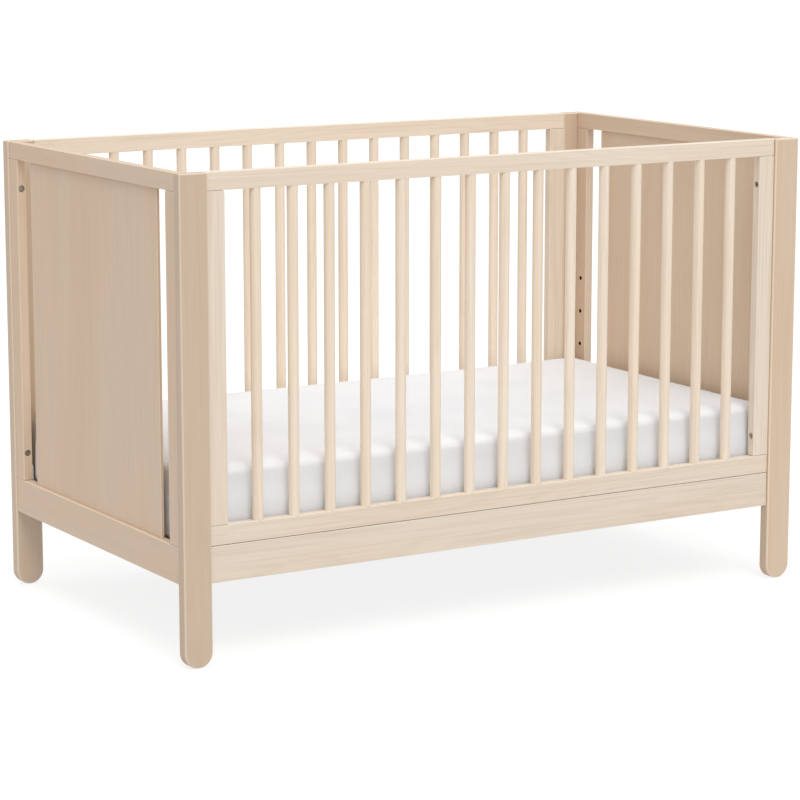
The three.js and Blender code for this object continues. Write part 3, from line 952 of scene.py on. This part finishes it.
def corner_seams(low, high):
    """The sheet's four corner seams, thin ridges up the middle of each round corner."""
    steps = 40
    thick = 0.0008
    pucker = 0.0002
    reach = MATTRESS_CORNER * (1 - math.sqrt(0.5))
    start, stop = low.z + MATTRESS_EDGE, high.z - MATTRESS_EDGE
    profile = [(0.0, start)]
    for step in range(steps + 1):
        radius = thick + pucker * math.sin(step * 2.4)
        profile.append((radius, start + (stop - start) * step / steps))
    profile.append((0.0, stop))
    seams = []
    for sign_x, sign_y in itertools.product((-1, 1), repeat=2):
        outward = Vector((sign_x, sign_y)).normalized()
        foot = Vector((sign_x * (high.x - reach), sign_y * (high.y - reach)))
        foot += outward * (SHEET_THICK + 0.0002)
        seams.append(turned(profile, (foot.x, foot.y, 0.0), "z", facets=8))
    return joined(seams)


def mattress():
    """The padded mattress, its fitted sheet, and the sheet's hem and corner seams."""
    box_low, box_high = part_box("mattress")
    spare = Vector((0.002, 0.002, 0.0012))     # room for the swelling and the sheet
    low, high = box_low + spare, box_high - spare
    pad_mesh = rounded_block(low, high, MATTRESS_CORNER, MATTRESS_EDGE)
    swell(pad_mesh, low.z)
    cover_mesh = sheet_mesh(pad_mesh, low, high)

    def soft(name, mesh, material, nodes=(), sharp=80.0):
        return place_piece(name, mesh, material, "mattress", nodes, sharp)

    pad = soft("mattress_pad", pad_mesh, ticking, ["mattress"])
    cover = soft("fitted_sheet", cover_mesh, cotton, ["mattress"])
    shell = cover.modifiers.new("cloth_thickness", "SOLIDIFY")
    shell.thickness = SHEET_THICK
    shell.offset = 1.0
    edge = soft("sheet_elastic_hem", hem(low, high), elastic)
    seams = soft("sheet_corner_seams", corner_seams(low, high), cotton, sharp=40.0)


# --- Stage ----------------------------------------------------------------------------------

def stage():
    """A wide pale studio floor that glows a little, so that shadows on it stay faint."""
    bm = bmesh.new()
    bmesh.ops.create_circle(bm, cap_ends=True, segments=96, radius=60.0)
    mesh = mesh_from(bm, "floor")
    material, tree, shader = new_material("pale_floor")
    mottle = add_node(tree, "ShaderNodeTexNoise", Scale=3.0, Detail=2.0).outputs["Fac"]
    tint = mix_colours(tree, mottle, (0.27, 0.27, 0.27, 1.0), (0.28, 0.28, 0.28, 1.0))
    tree.links.new(tint, shader.inputs["Base Color"])
    shader.inputs["Roughness"].default_value = 0.95
    shader.inputs["Specular IOR Level"].default_value = 0.0
    shader.inputs["Emission Color"].default_value = (1.0, 1.0, 1.0, 1.0)
    seen = add_node(tree, "ShaderNodeLightPath").outputs["Is Camera Ray"]
    glow = add_node(tree, "ShaderNodeMapRange", Value=seen, To_Min=GLOW_CAST, To_Max=GLOW_SEEN)
    tree.links.new(glow.outputs["Result"], shader.inputs["Emission Strength"])
    mesh.materials.append(material)
    floor = bpy.data.objects.new("floor", mesh)
    floor.location.z = -0.0005
    bpy.context.scene.collection.objects.link(floor)


def lighting():
    """A white studio, brighter overhead, and a large soft key light in front and above."""
    world = bpy.data.worlds.new("studio")
    world.use_nodes = True
    tree = world.node_tree
    background = tree.nodes["Background"]
    direction = add_node(tree, "ShaderNodeTexCoord").outputs["Generated"]
    height = add_node(tree, "ShaderNodeSeparateXYZ", Vector=direction).outputs["Z"]
    rise = maths(tree, "MULTIPLY", maths(tree, "MAXIMUM", height, 0.0), SKY_RISE)
    dome = maths(tree, "ADD", rise, SKY_LOW)
    seen = add_node(tree, "ShaderNodeLightPath").outputs["Is Camera Ray"]
    strength = maths(tree, "MAXIMUM", dome, seen)
    tree.links.new(strength, background.inputs["Strength"])
    background.inputs["Color"].default_value = (1.0, 1.0, 1.0, 1.0)
    bpy.context.scene.world = world
    key = bpy.data.lights.new("key", "SUN")
    key.energy = KEY_STRENGTH * math.pi
    key.angle = KEY_ANGLE
    key.color = (1.0, 0.985, 0.96)
    holder = bpy.data.objects.new("key", key)
    towards = Vector((math.sin(KEY_AZIMUTH) * math.cos(KEY_ELEVATION),
                      -math.cos(KEY_AZIMUTH) * math.cos(KEY_ELEVATION), math.sin(KEY_ELEVATION)))
    holder.rotation_euler = towards.to_track_quat("Z", "Y").to_euler()
    bpy.context.scene.collection.objects.link(holder)


def camera():
    """The camera, at the front of the crib and to its left."""
    lens = bpy.data.cameras.new("camera")
    lens.lens = CAMERA_LENS
    lens.sensor_width = 36.0
    lens.clip_end = 200.0
    holder = bpy.data.objects.new("camera", lens)
    holder.location = CAMERA_PLACE
    holder.rotation_euler = (math.pi / 2 + CAMERA_PITCH, 0.0, -CAMERA_HEADING)
    bpy.context.scene.collection.objects.link(holder)
    bpy.context.scene.camera = holder


# --- Assembly -------------------------------------------------------------------------------

bpy.context.scene.view_settings.view_transform = "Standard"
camera()
lighting()
stage()
for side in SIDES:
    for end in ENDS:
        leg(f"{side}_{end}_leg")
bolts = [bolt for side in SIDES for bolt in side_frame(side)]
inserts = []
for end in ENDS:
    frame_bolts, frame_inserts = end_frame(end)
    bolts += frame_bolts
    inserts += frame_inserts
for node in SPINDLES:
    spindle(node)
place_piece("connector_bolts", joined(bolts), bolt_steel, "crib_frame")
place_piece("support_hole_inserts", joined(inserts), insert_steel, "crib_frame")
deck()
fasteners = [item for side in SIDES for end in ENDS for item in bracket(f"{side}_{end}_support_bracket")]
place_piece("support_bolts", joined(fasteners), bolt_steel, "mattress_support")
mattress()
